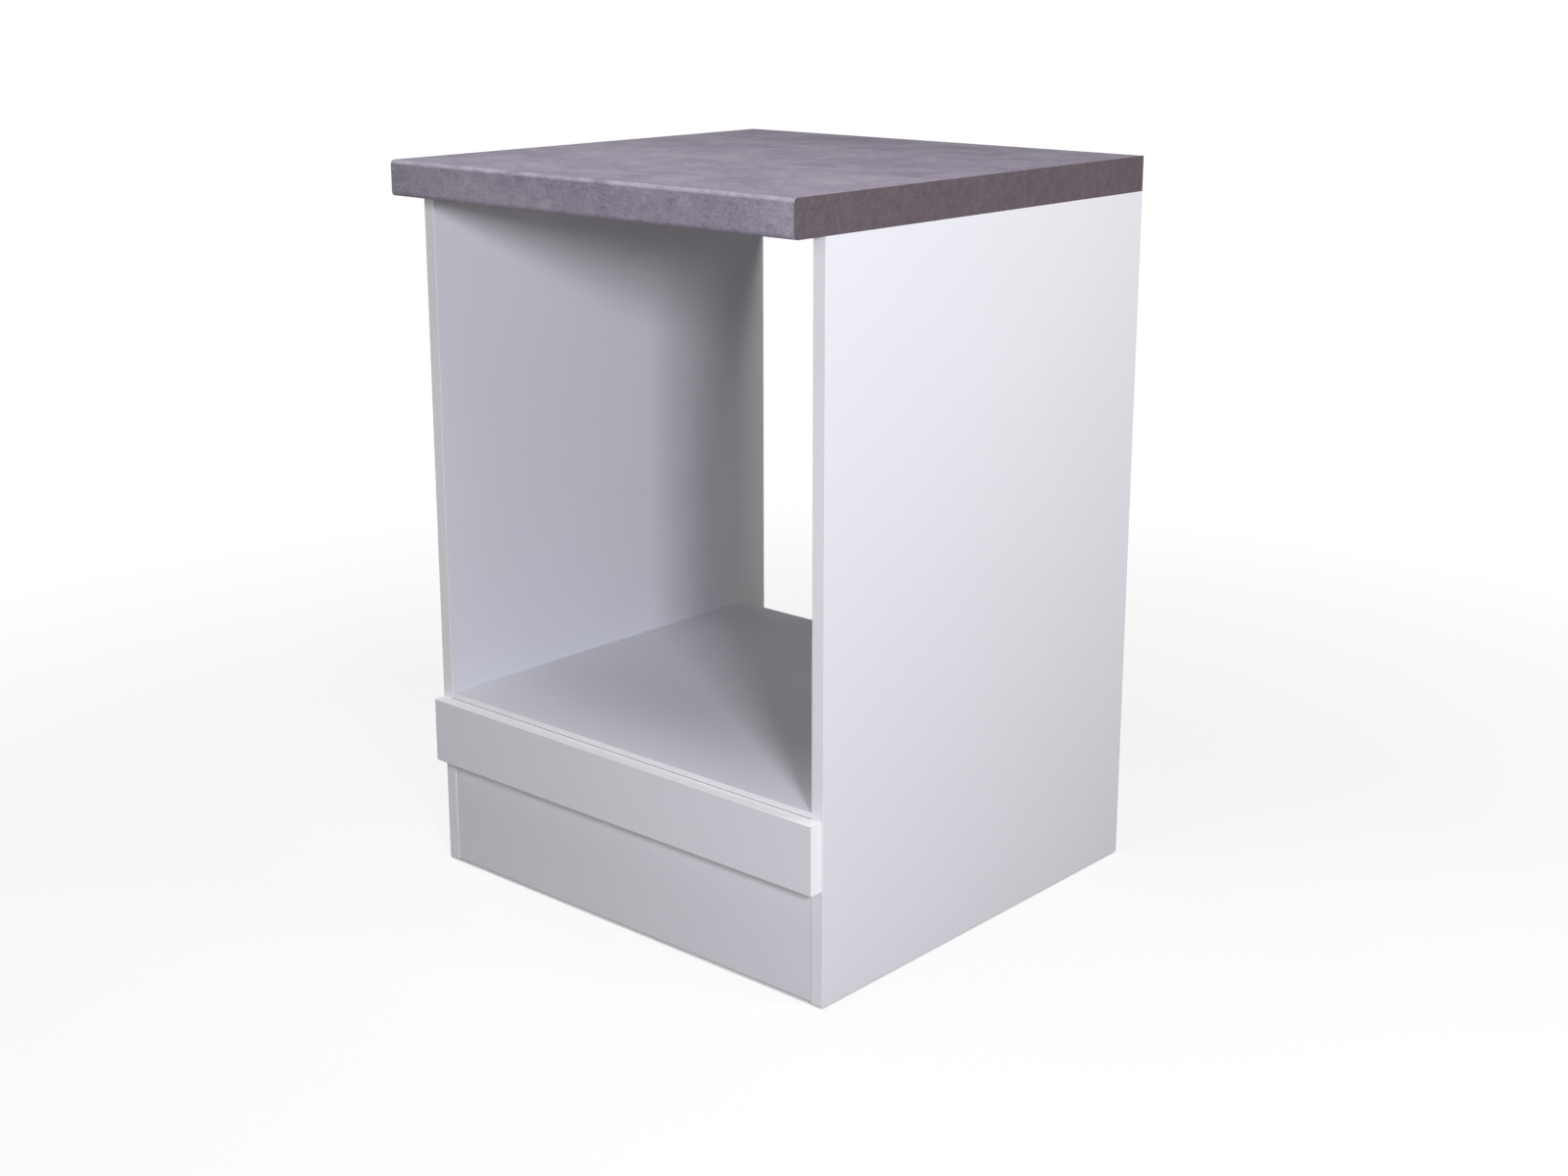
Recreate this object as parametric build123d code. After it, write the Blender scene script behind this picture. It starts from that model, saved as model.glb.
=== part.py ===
from build123d import *
from math import atan, degrees, sqrt
import os

# Oven base cabinet: a worktop on two side panels that stand on the floor.
# The space between the panels is a niche for a built-in oven, open at the front and the back.
# Its floor is the bottom panel, with a plinth and a fixed front strip below it.
# X runs from left to right, -Y is the front and Z is up. The origin is on the floor,
# under the middle of the worktop. All sizes are in millimetres.

# Whole cabinet
cabinet_width = 600.0
cabinet_height = 850.0
niche_height = 594.0             # top of the bottom panel to the underside of the worktop

# Worktop: chipboard core, laminate folded round the front, backing sheet, banded ends
worktop_depth = 600.0
worktop_thickness = 40.0
worktop_overhang = 45.0          # past the front edges of the side panels
nose_radius = 5.0                # both front arrises, outside of the laminate
laminate_thickness = 0.8
laminate_return = 25.0           # laminate folded back under the front
backing_thickness = 0.5
end_band_thickness = 0.8

# Melamine-faced boards and their edge bands
board_thickness = 16.0
edge_band_thickness = 1.0
band_arris_radius = 0.6
rear_gap = 47.0                  # bottom panel to the back of the cabinet
rail_height = 90.0

# Plinth and front strip
plinth_recess = 1.0              # behind the front edges of the side panels
plinth_floor_gap = 1.0           # above the lower ends of the side panels
strip_thickness = 16.0
strip_height = 77.0
strip_drop = 7.0                 # top of the strip below the niche floor
strip_end_gap = 2.0              # short of the cabinet's side at each end

# Cam connectors, drilled on a 32 mm pitch
pitch = 32.0
cam_inset = 50.0                 # first connector to the front or back edge of the bottom panel
cam_diameter = 15.0
cam_reach = 34.0                 # cam axis to the end of the board
cam_below_bolt = 4.5             # how far the cam bore runs past the bolt's axis
cam_throw = 0.6                  # chamber centre off the cam axis
chamber_diameter = 8.8
chamber_height = 7.4
cam_entry_diameter = 7.4
cam_slot_start = -42.0           # degrees from the locked bolt round to the slot's ends
cam_slot_end = 110.0
cam_drive_span = 8.0
cam_drive_width = 1.4
cam_drive_depth = 2.4
bolt_bore_diameter = 8.0
bolt_thread_diameter = 5.0
bolt_shank_diameter = 6.4
bolt_neck_diameter = 3.8
bolt_head_diameter = 6.6
bolt_head_length = 4.2
bolt_web = 5.0                   # board left behind the bolt's thread

# Wooden dowels with V grooves along them
dowel_diameter = 8.0
dowel_board_depth = 19.0
dowel_web = 4.0                  # board left behind the dowel's bore
dowel_end_gap = 0.5
dowel_grooves = 8
dowel_groove_depth = 0.4

# Worktop brackets: folded steel angles
bracket_leg = 25.0
bracket_width = 17.0
bracket_thickness = 2.0
bracket_bend_radius = 1.0
bracket_hole_diameter = 4.4
bracket_hole_inset = 14.0        # from the corner
bracket_end_chamfer = 3.0
bracket_front_inset = 160.0
bracket_rear_inset = 110.0

# Round-head chipboard screws
screw_diameter = 3.5
screw_head_diameter = 7.0
screw_head_height = 2.2
screw_head_taper = 20.0          # degrees
screw_point_length = 3.0
screw_cover = 3.0                # board left in front of a screw's point
strip_screw_count = 3
strip_screw_inset = 84.0         # outer screws to the inner faces of the side panels

# Floor glides with a pin, pressed into the lower ends of the side panels
glide_height = 2.0
glide_diameter = 14.0
glide_inset = 60.0
glide_pin_diameter = 5.0
glide_pin_length = 10.0

fastener_sides = 8               # flats round each screw, bolt and pin
bore_sides = 16                  # flats round each dowel and bolt bore and each cam's chamber
clearance = 0.1                  # round each bolt, cam, dowel, screw and pin

# Levels and faces that follow from the sizes above
carcass_top = cabinet_height - worktop_thickness
niche_floor = carcass_top - niche_height
bottom_underside = niche_floor - board_thickness
bottom_middle = niche_floor - board_thickness / 2
side_bottom = glide_height
outer_x = cabinet_width / 2
inner_x = outer_x - board_thickness
worktop_front = -worktop_depth / 2
worktop_back = worktop_depth / 2
side_front = worktop_front + worktop_overhang
side_back = worktop_back
bottom_back = side_back - rear_gap
rail_front = side_back - board_thickness
rail_bottom = carcass_top - rail_height
plinth_front = side_front + plinth_recess
plinth_back = plinth_front + board_thickness
plinth_bottom = side_bottom + plinth_floor_gap
plinth_top = bottom_underside
strip_front = side_front - strip_thickness
strip_top = niche_floor - strip_drop
strip_bottom = strip_top - strip_height
strip_end = outer_x - strip_end_gap

# Connector lengths that follow from the boards
cam_depth = board_thickness / 2 + cam_below_bolt
bolt_grip = board_thickness - bolt_web
bolt_neck_start = cam_reach - cam_diameter / 2
neck_slot_height = bolt_neck_diameter + 6 * clearance
bolt_shoulder_length = (bolt_head_diameter - bolt_neck_diameter) / 2
head_rim_in_chamber = sqrt(chamber_diameter**2 - bolt_head_diameter**2) / 2 - cam_throw - clearance
bolt_shoulder = cam_reach - head_rim_in_chamber - bolt_shoulder_length
dowel_grip = board_thickness - dowel_web
bracket_screw_length = bracket_thickness + board_thickness - screw_cover
strip_screw_length = board_thickness + plinth_recess + strip_thickness - screw_cover

sides = {"left": -1, "right": 1}
on_top = (Align.CENTER, Align.CENTER, Align.MIN)
hanging = (Align.CENTER, Align.CENTER, Align.MAX)


def slab(x_span, y_span, z_span):
    # A board that fills three spans, each from low to high
    spans = (x_span, y_span, z_span)
    middle = [(low + high) / 2 for low, high in spans]
    size = [high - low for low, high in spans]
    return Pos(*middle) * Box(*size)


def edge_band(x_span, y_span, z_span, outward, along):
    # A glued-on band with its two long outer arrises rounded
    band = slab(x_span, y_span, z_span)
    outer_face = band.faces().sort_by(outward)[-1]
    radius = min(band_arris_radius, 0.9 * edge_band_thickness)
    return fillet(outer_face.edges().filter_by(along), radius)


def flatted(radius, low, high, end_radius=None):
    # A stage of a fastener along Z, with flats round it, that may widen or narrow
    taper = degrees(atan((radius - (end_radius or radius)) / (high - low)))
    return Pos(0, 0, low) * extrude(RegularPolygon(radius, fastener_sides), high - low, taper=taper)


def flat_bore(radius, low, high):
    # A bore along Z with flats that touch its circle from outside
    outline = RegularPolygon(radius, bore_sides, major_radius=False)
    return Pos(0, 0, low) * extrude(outline, high - low)


# Fasteners, each in its own frame

def screw_shank(length, extra):
    # Shank and point below Z = 0, grown by extra for the bore that it cuts
    radius = screw_diameter / 2 + extra
    shoulder = screw_point_length - length - extra
    shank = flatted(radius, shoulder, 0)
    return shank + flatted(radius / 3, -length - extra, shoulder, radius)


def screw(length):
    # Round head on Z = 0, shank below it
    head_outline = RegularPolygon(screw_head_diameter / 2, fastener_sides)
    head = extrude(head_outline, screw_head_height, taper=screw_head_taper)
    return head + screw_shank(length, 0)


def screw_bore(length):
    return screw_shank(length, clearance)


def glide():
    # Plastic pad on the floor with a pin up into the side panel
    pad = Cylinder(glide_diameter / 2, glide_height, align=on_top)
    return pad + flatted(glide_pin_diameter / 2, glide_height, glide_height + glide_pin_length)


def glide_bore():
    top = side_bottom + glide_pin_length + clearance
    return flatted(glide_pin_diameter / 2 + clearance, side_bottom, top)


def dowel():
    # Grooved dowel along Z, its middle on the joint between side panel and board
    low = dowel_end_gap - dowel_grip
    high = dowel_board_depth - dowel_end_gap
    ridge = Vector(dowel_diameter / 2, 0)
    groove = Vector(dowel_diameter / 2 - dowel_groove_depth, 0)
    corners = []
    for k in range(dowel_grooves):
        corners.append(ridge.rotate(Axis.Z, 360 * k / dowel_grooves))
        corners.append(groove.rotate(Axis.Z, 360 * (k + 0.5) / dowel_grooves))
    return Pos(0, 0, low) * extrude(make_face(Polyline(*corners, close=True)), high - low)


def dowel_bore():
    return flat_bore(dowel_diameter / 2 + clearance, -dowel_grip, dowel_board_depth)


def cam_bolt():
    # Bolt along Z: thread in the side panel below 0, shank, neck and head above it
    shank = bolt_shank_diameter / 2
    neck = bolt_neck_diameter / 2
    head = bolt_head_diameter / 2
    rim = bolt_shoulder + bolt_shoulder_length
    bolt = flatted(bolt_thread_diameter / 2, -bolt_grip, 0)
    bolt += flatted(shank, 0, bolt_neck_start)
    bolt += flatted(neck, bolt_neck_start, bolt_shoulder)
    bolt += flatted(neck, bolt_shoulder, rim, head)
    return bolt + flatted(head, rim, bolt_shoulder + bolt_head_length)


def cam_bores():
    # Drilling for one connector: thread in the side panel, bolt and cam bores in the board
    thread = flatted(bolt_thread_diameter / 2 + clearance, -bolt_grip - clearance, 0)
    shank = flat_bore(bolt_bore_diameter / 2, 0, cam_reach)
    cam_bore = Cylinder(cam_diameter / 2 + clearance, cam_depth, align=hanging)
    return thread + shank + cam_place * cam_bore


def cam_housing():
    # Cam with its drive face at Z = 0 and the locked bolt coming in along +X
    bolt_level = Pos(0, 0, -board_thickness / 2)
    body = Cylinder(cam_diameter / 2, cam_depth - clearance, align=hanging)
    chamber_top = (chamber_height - board_thickness) / 2
    chamber = flat_bore(chamber_diameter / 2, chamber_top - cam_depth, chamber_top)
    chamber = Pos(-cam_throw, 0, 0) * chamber

    # The neck slot runs round the wall to the entry, where the head passes in
    slot_side = Rectangle(cam_diameter, neck_slot_height, align=(Align.MIN, Align.CENTER))
    slot_side = Pos(chamber_diameter / 4, 0) * slot_side
    slot = revolve(Plane.XZ * slot_side, Axis.Z, cam_slot_end - cam_slot_start)
    slot = Rot(0, 0, cam_slot_start) * slot
    entry = Cylinder(cam_entry_diameter / 2, cam_diameter, align=on_top)
    entry = Rot(0, 0, cam_slot_end) * Rot(0, 90, 0) * entry

    drive = Box(cam_drive_span, cam_drive_width, cam_drive_depth, align=hanging)
    drive += Rot(0, 0, 90) * drive
    return body - chamber - bolt_level * slot - bolt_level * entry - drive


# Where the cam sits in a connector's frame: drive face on the board's face, bolt side towards 0
cam_place = Pos(board_thickness / 2, 0, cam_reach) * Rot(0, 90, 0)


def bracket():
    # Angle under the worktop: one leg along X, one leg along Y, folded about Z
    leg = bracket_leg
    metal = bracket_thickness
    corners = [(0, 0), (leg, 0), (leg, metal), (metal, metal), (metal, leg), (0, leg)]
    outline = make_face(Polyline(*corners, close=True))
    inner_corner = outline.vertices().sort_by_distance((metal, metal))[0]
    outline = fillet(inner_corner, bracket_bend_radius)
    outer_corner = outline.vertices().sort_by_distance((0, 0))[0]
    outline = fillet(outer_corner, bracket_bend_radius + metal)
    angle = Pos(0, 0, -bracket_width / 2) * extrude(outline, bracket_width)
    free_ends = angle.edges().filter_by(Axis.Y).group_by(Axis.X)[-1]
    free_ends += angle.edges().filter_by(Axis.X).group_by(Axis.Y)[-1]
    angle = chamfer(free_ends, bracket_end_chamfer)
    hole = Cylinder(bracket_hole_diameter / 2, 4 * metal)
    return angle - [place * hole for place in bracket_screw_places()]


def bracket_screw_places():
    # One screw in each leg, with its head on the inside of the angle
    under_worktop = Pos(bracket_hole_inset, bracket_thickness, 0) * Rot(-90, 0, 0)
    on_side_panel = Pos(bracket_thickness, bracket_hole_inset, 0) * Rot(0, 90, 0)
    return [under_worktop, on_side_panel]


# Places of the fasteners in the cabinet

def end_frames(side, points, cam_face):
    # Frames on a side panel's inner face: Z into the board, X to the face with the cam
    frames = []
    for y, z in points:
        frame = Plane(origin=(side * inner_x, y, z), x_dir=cam_face, z_dir=(-side, 0, 0))
        frames.append(frame.location)
    return frames


def bottom_panel_joints(side):
    front = side_front + cam_inset
    back = bottom_back - cam_inset
    cams = [(front, bottom_middle), (back, bottom_middle)]
    dowels = [(front + pitch, bottom_middle), (back - pitch, bottom_middle)]
    underside = (0, 0, -1)
    return end_frames(side, cams, underside), end_frames(side, dowels, underside)


def rear_rail_joints(side):
    y = side_back - board_thickness / 2
    middle = (carcass_top + rail_bottom) / 2
    rear_face = (0, 1, 0)
    cams = end_frames(side, [(y, middle + pitch / 2)], rear_face)
    return cams, end_frames(side, [(y, middle - pitch / 2)], rear_face)


def plinth_joints(side):
    y = plinth_front + board_thickness / 2
    middle = (plinth_top + plinth_bottom) / 2
    rear_face = (0, 1, 0)
    return [], end_frames(side, [(y, middle)], rear_face)


def bracket_frames(side):
    # Frames on the corner of side panel and worktop: X inwards, Y down
    frames = {}
    for name, y in (("front", side_front + bracket_front_inset), ("rear", side_back - bracket_rear_inset)):
        frame = Plane(origin=(side * inner_x, y, carcass_top), x_dir=(-side, 0, 0), z_dir=(0, -side, 0))
        frames[name] = frame.location
    return frames


def glide_frames(side):
    x = side * (outer_x - board_thickness / 2)
    return [Pos(x, side_front + glide_inset, 0), Pos(x, side_back - glide_inset, 0)]


def strip_screw_frames():
    # Screws through the plinth board from behind, on the strip's middle line
    first = -inner_x + strip_screw_inset
    step = -2 * first / (strip_screw_count - 1)
    z = (strip_top + strip_bottom) / 2
    return [Pos(first + step * k, plinth_back, z) * Rot(-90, 0, 0) for k in range(strip_screw_count)]


# Worktop

def worktop_sections():
    # Sections of core, laminate and backing sheet, and their common outline, in Y and Z
    middle = Pos((worktop_front + worktop_back) / 2, (carcass_top + cabinet_height) / 2)
    outline = middle * Rectangle(worktop_depth, worktop_thickness)
    outline = fillet(outline.vertices().group_by(Axis.X)[0], nose_radius)

    inside = Pos(worktop_back, carcass_top + laminate_thickness) * Rectangle(
        worktop_depth - laminate_thickness,
        worktop_thickness - 2 * laminate_thickness,
        align=(Align.MAX, Align.MIN),
    )
    inside = fillet(inside.vertices().group_by(Axis.X)[0], nose_radius - laminate_thickness)

    backing_depth = worktop_depth - laminate_return
    corner = Pos(worktop_back, carcass_top)
    behind_return = corner * Rectangle(backing_depth, laminate_thickness, align=(Align.MAX, Align.MIN))
    backing = corner * Rectangle(backing_depth, backing_thickness, align=(Align.MAX, Align.MIN))

    laminate = outline - inside - behind_return
    core = outline - laminate - backing
    return core, laminate, backing, outline


def across_cabinet(section, low, high):
    # A section in Y and Z, run from one X to another
    return Pos(low, 0, 0) * extrude(Plane.YZ * section, high - low)


pieces = {}

core_section, laminate_section, backing_section, worktop_outline = worktop_sections()
core_end = outer_x - end_band_thickness
pieces["worktop_core"] = across_cabinet(core_section, -core_end, core_end)
pieces["worktop_laminate"] = across_cabinet(laminate_section, -core_end, core_end)
pieces["worktop_backing_sheet"] = across_cabinet(backing_section, -core_end, core_end)
pieces["worktop_end_band_left"] = across_cabinet(worktop_outline, -outer_x, -core_end)
pieces["worktop_end_band_right"] = across_cabinet(worktop_outline, core_end, outer_x)

# Boards between the side panels
between = (-inner_x, inner_x)
bottom_front = side_front + edge_band_thickness
pieces["bottom_panel"] = slab(between, (bottom_front, bottom_back), (bottom_underside, niche_floor))
pieces["bottom_panel_front_band"] = edge_band(
    between, (side_front, bottom_front), (bottom_underside, niche_floor), -Axis.Y, Axis.X
)
rail_band_top = rail_bottom + edge_band_thickness
pieces["rear_rail"] = slab(between, (rail_front, side_back), (rail_band_top, carcass_top))
pieces["rear_rail_lower_band"] = edge_band(
    between, (rail_front, side_back), (rail_bottom, rail_band_top), -Axis.Z, Axis.X
)
plinth_band_top = plinth_bottom + edge_band_thickness
pieces["plinth_board"] = slab(between, (plinth_front, plinth_back), (plinth_band_top, plinth_top))
pieces["plinth_lower_band"] = edge_band(
    between, (plinth_front, plinth_back), (plinth_bottom, plinth_band_top), -Axis.Z, Axis.X
)

# Front strip, banded on all four edges
strip_depth = (strip_front, side_front)
strip_inner_end = strip_end - edge_band_thickness
strip_inner_top = strip_top - edge_band_thickness
strip_inner_bottom = strip_bottom + edge_band_thickness
strip_board_width = (-strip_inner_end, strip_inner_end)
strip_board_height = (strip_inner_bottom, strip_inner_top)
strip_width = (-strip_end, strip_end)
pieces["front_strip"] = slab(strip_board_width, strip_depth, strip_board_height)
pieces["front_strip_top_band"] = edge_band(
    strip_width, strip_depth, (strip_inner_top, strip_top), Axis.Z, Axis.X
)
pieces["front_strip_bottom_band"] = edge_band(
    strip_width, strip_depth, (strip_bottom, strip_inner_bottom), -Axis.Z, Axis.X
)
pieces["front_strip_left_band"] = edge_band(
    (-strip_end, -strip_inner_end), strip_depth, strip_board_height, -Axis.X, Axis.Z
)
pieces["front_strip_right_band"] = edge_band(
    (strip_inner_end, strip_end), strip_depth, strip_board_height, Axis.X, Axis.Z
)

cams = []
bolts = []
dowels = []
bracket_screws = []
glides = []

board_joints = {
    "bottom_panel": bottom_panel_joints,
    "rear_rail": rear_rail_joints,
    "plinth_board": plinth_joints,
}

for side_name, side in sides.items():
    x_span = tuple(sorted((side * inner_x, side * outer_x)))
    height = (side_bottom, carcass_top)
    panel = slab(x_span, (side_front + edge_band_thickness, side_back), height)
    pieces["side_front_band_" + side_name] = edge_band(
        x_span, (side_front, side_front + edge_band_thickness), height, -Axis.Y, Axis.Z
    )

    # Cam connectors and dowels of the three boards
    for board, joints in board_joints.items():
        cam_frames, dowel_frames = joints(side)
        bores = [frame * cam_bores() for frame in cam_frames]
        bores += [frame * dowel_bore() for frame in dowel_frames]
        panel -= bores
        pieces[board] -= bores
        cams += [frame * cam_place * cam_housing() for frame in cam_frames]
        bolts += [frame * cam_bolt() for frame in cam_frames]
        dowels += [frame * dowel() for frame in dowel_frames]

    # Brackets that hold the worktop
    for place, frame in bracket_frames(side).items():
        screw_places = [frame * screw_place for screw_place in bracket_screw_places()]
        bores = [screw_place * screw_bore(bracket_screw_length) for screw_place in screw_places]
        panel -= bores
        pieces["worktop_core"] -= bores
        pieces["worktop_backing_sheet"] -= bores
        pieces["worktop_bracket_" + place + "_" + side_name] = frame * bracket()
        bracket_screws += [screw_place * screw(bracket_screw_length) for screw_place in screw_places]

    # Floor glides in the lower end of the panel
    for frame in glide_frames(side):
        panel -= frame * glide_bore()
        glides.append(frame * glide())

    pieces["side_panel_" + side_name] = panel

# Screws that hold the strip to the plinth board
strip_screw_bores = [frame * screw_bore(strip_screw_length) for frame in strip_screw_frames()]
pieces["plinth_board"] -= strip_screw_bores
pieces["front_strip"] -= strip_screw_bores
strip_screws = [frame * screw(strip_screw_length) for frame in strip_screw_frames()]

pieces["cam_housings"] = Compound(cams)
pieces["cam_bolts"] = Compound(bolts)
pieces["wooden_dowels"] = Compound(dowels)
pieces["bracket_screws"] = Compound(bracket_screws)
pieces["strip_screws"] = Compound(strip_screws)
pieces["floor_glides"] = Compound(glides)

os.makedirs("parts", exist_ok=True)
for node, shape in pieces.items():
    export_step(shape, "parts/" + node + ".step")
print(len(pieces), "nodes written")
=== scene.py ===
import bpy
from math import cos, pi, radians, sin
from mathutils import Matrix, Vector


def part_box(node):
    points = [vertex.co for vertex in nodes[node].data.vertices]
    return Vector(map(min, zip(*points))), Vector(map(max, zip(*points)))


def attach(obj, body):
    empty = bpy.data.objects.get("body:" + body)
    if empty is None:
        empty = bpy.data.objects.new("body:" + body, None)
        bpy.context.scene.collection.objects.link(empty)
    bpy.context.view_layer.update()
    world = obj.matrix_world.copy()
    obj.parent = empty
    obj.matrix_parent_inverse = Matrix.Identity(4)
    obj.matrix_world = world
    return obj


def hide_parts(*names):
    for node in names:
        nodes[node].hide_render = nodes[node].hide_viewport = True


# Oven base cabinet: white melamine boards under a concrete-look worktop.
# The CAD nodes keep their shapes and get their finishes here. The screws are made again,
# with threads and cross recesses. Metres throughout, with the front towards -Y.

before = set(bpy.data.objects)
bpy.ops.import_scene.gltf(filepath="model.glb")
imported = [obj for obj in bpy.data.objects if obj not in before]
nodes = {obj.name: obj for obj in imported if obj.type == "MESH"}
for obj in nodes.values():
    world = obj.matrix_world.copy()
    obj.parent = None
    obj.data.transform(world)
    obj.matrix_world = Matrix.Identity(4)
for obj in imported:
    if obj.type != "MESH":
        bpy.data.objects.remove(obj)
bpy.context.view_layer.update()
print("frame loaded with", len(nodes), "nodes")


# Camera

cameraView = {
    "place": (1.6506, -1.8343, 1.069),
    "heading": 41.64,            # degrees to the left of straight ahead
    "tiltDown": 14.27,           # degrees
    "lens": 49.9,                # mm
    "sensor": 36,                # mm across
    "shiftY": -0.05,
    "nearClip": 0.05,
}


def makeCamera():
    data = bpy.data.cameras.new("photoCamera")
    data.lens = cameraView["lens"]
    data.sensor_width = cameraView["sensor"]
    data.shift_y = cameraView["shiftY"]
    data.clip_start = cameraView["nearClip"]
    camera = bpy.data.objects.new("photoCamera", data)
    camera.location = cameraView["place"]
    camera.rotation_euler = (radians(90 - cameraView["tiltDown"]), 0, radians(cameraView["heading"]))
    bpy.context.scene.collection.objects.link(camera)
    bpy.context.scene.camera = camera


makeCamera()
print("camera ready")


# Building blocks for the node trees

noiseSpan = (0.3, 0.7)           # where nearly all of a noise's values lie
noiseCore = (0.35, 0.65)         # where most of them lie


def put(tree, kind, sockets=None, **settings):
    # One node; each socket takes a value or another node's output
    node = tree.nodes.new(kind)
    for name, value in settings.items():
        setattr(node, name, value)
    for name, value in (sockets or {}).items():
        socket = node.inputs[name]
        if isinstance(value, bpy.types.NodeSocket):
            tree.links.new(value, socket)
        elif socket.type == "RGBA":
            socket.default_value = (*value[:3], 1)
        else:
            socket.default_value = value
    return node


def maths(tree, operation, first, second=0.0):
    return put(tree, "ShaderNodeMath", {0: first, 1: second}, operation=operation).outputs[0]


def plus(tree, first, second):
    return maths(tree, "ADD", first, second)


def minus(tree, first, second):
    return maths(tree, "SUBTRACT", first, second)


def times(tree, first, second):
    return maths(tree, "MULTIPLY", first, second)


def spread(tree, value, fromRange, toRange=(0.0, 1.0)):
    # Straight from one range to the other, and held at its ends
    sockets = {0: value, 1: fromRange[0], 2: fromRange[1], 3: toRange[0], 4: toRange[1]}
    return put(tree, "ShaderNodeMapRange", sockets).outputs[0]


def mixValue(tree, amount, first, second):
    return put(tree, "ShaderNodeMix", {0: amount, 2: first, 3: second}, data_type="FLOAT").outputs[0]


def mixColour(tree, amount, first, second):
    return put(tree, "ShaderNodeMix", {0: amount, 6: first, 7: second}, data_type="RGBA").outputs[2]


def here(tree, stretch=None, turn=0):
    # The point on the piece in metres; for a pattern it is stretched, and turned about Z in degrees
    point = put(tree, "ShaderNodeTexCoord").outputs["Object"]
    if stretch is None:
        return point
    sockets = {"Vector": point, "Scale": stretch, "Rotation": (0, 0, radians(turn))}
    return put(tree, "ShaderNodeMapping", sockets).outputs[0]


def partOf(tree, point, axis):
    return put(tree, "ShaderNodeSeparateXYZ", {0: point}).outputs[axis]


def noise(tree, point, cells, detail=3.0, roughness=0.5, distortion=0.0):
    # cells are counted per metre of the point given
    return put(tree, "ShaderNodeTexNoise", {
        "Vector": point,
        "Scale": cells,
        "Detail": detail,
        "Roughness": roughness,
        "Distortion": distortion,
    }).outputs[0]


def chips(tree, point, cells):
    # A random tone for each cell, as of pressed chips
    pattern = put(tree, "ShaderNodeTexVoronoi", {"Vector": point, "Scale": cells})
    return put(tree, "ShaderNodeSeparateColor", {0: pattern.outputs["Color"]}).outputs[0]


def startMaterial(name):
    material = bpy.data.materials.new(name)
    material.use_nodes = True
    material.node_tree.nodes.clear()
    return material, material.node_tree


def finishMaterial(tree, shader, relief=None):
    # The relief is a height in metres
    if relief is not None:
        bump = put(tree, "ShaderNodeBump", {"Height": relief, "Distance": 1.0, "Strength": 1.0})
        tree.links.new(bump.outputs[0], shader.inputs["Normal"])
    output = put(tree, "ShaderNodeOutputMaterial")
    tree.links.new(shader.outputs[0], output.inputs["Surface"])


def dress(nodeName, material):
    slots = nodes[nodeName].data.materials
    slots.clear()
    slots.append(material)


# Bare chipboard, in the worktop and on the edges that no band covers.
# Here and in all finishes below, a noise is cells per metre, detail, roughness and distortion,
# and what is left out is as in noise().

chipLook = {
    "straw": (0.68, 0.51, 0.34),
    "brown": (0.46, 0.31, 0.19),
    "gap": (0.17, 0.105, 0.06),
    "coreChips": 300,            # cells per metre
    "skinChips": 1000,
    "alongBoard": 0.5,           # cells along the board for each one across it, in the same length
    "skin": (0.7, 0.9),          # shares of the half thickness, between which the chips turn fine
    "fibreNoise": (1400, 3, 0.6),
    "fibreShare": 0.45,
    "gapNoise": (620, 4, 0.65),
    "gapRange": (0.56, 0.68),
    "gapsInSkin": 0.4,           # as strong as in the core
    "relief": 0.0003,
    "roughness": 0.9,
    "specular": 0.25,
}


def chipboardParts(tree, depth, half, along):
    # Colour and relief, with coarse chips in the middle of the board and fine ones under its faces
    stretch = [1.0, 1.0, 1.0]
    stretch[along] = chipLook["alongBoard"]
    point = here(tree, stretch)
    skin = spread(tree, depth, [half * share for share in chipLook["skin"]])
    coarse = chips(tree, point, chipLook["coreChips"])
    fine = chips(tree, point, chipLook["skinChips"])
    tone = mixValue(tree, skin, coarse, fine)
    tone = mixValue(tree, chipLook["fibreShare"], tone, noise(tree, point, *chipLook["fibreNoise"]))
    wood = mixColour(tree, tone, chipLook["brown"], chipLook["straw"])
    gaps = spread(tree, noise(tree, point, *chipLook["gapNoise"]), chipLook["gapRange"])
    gaps = times(tree, gaps, spread(tree, skin, (0.0, 1.0), (1.0, chipLook["gapsInSkin"])))
    colour = mixColour(tree, gaps, wood, chipLook["gap"])
    return colour, times(tree, minus(tree, tone, gaps), chipLook["relief"])


def depthInBoard(tree, nodeName, axis):
    # Distance from the middle plane of the board, and half the board's thickness
    low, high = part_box(nodeName)
    offset = minus(tree, partOf(tree, here(tree), axis), (low[axis] + high[axis]) / 2)
    return maths(tree, "ABSOLUTE", offset), (high[axis] - low[axis]) / 2


# White melamine boards

boardLook = {
    "white": (0.80, 0.80, 0.86),
    "shade": (0.765, 0.765, 0.82),
    "cloudNoise": (4, 3),
    "pearlTone": (0.62, 0.62, 0.66),
    "pearlNoise": (650, 2, 0.6),
    "pearlShare": 0.16,
    "pearlRelief": 0.00002,
    "facing": 0.00025,           # thickness of the melamine skin
    "glossNoise": (9, 4),
    "roughness": (0.48, 0.58),
    "specular": 0.15,
}


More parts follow.
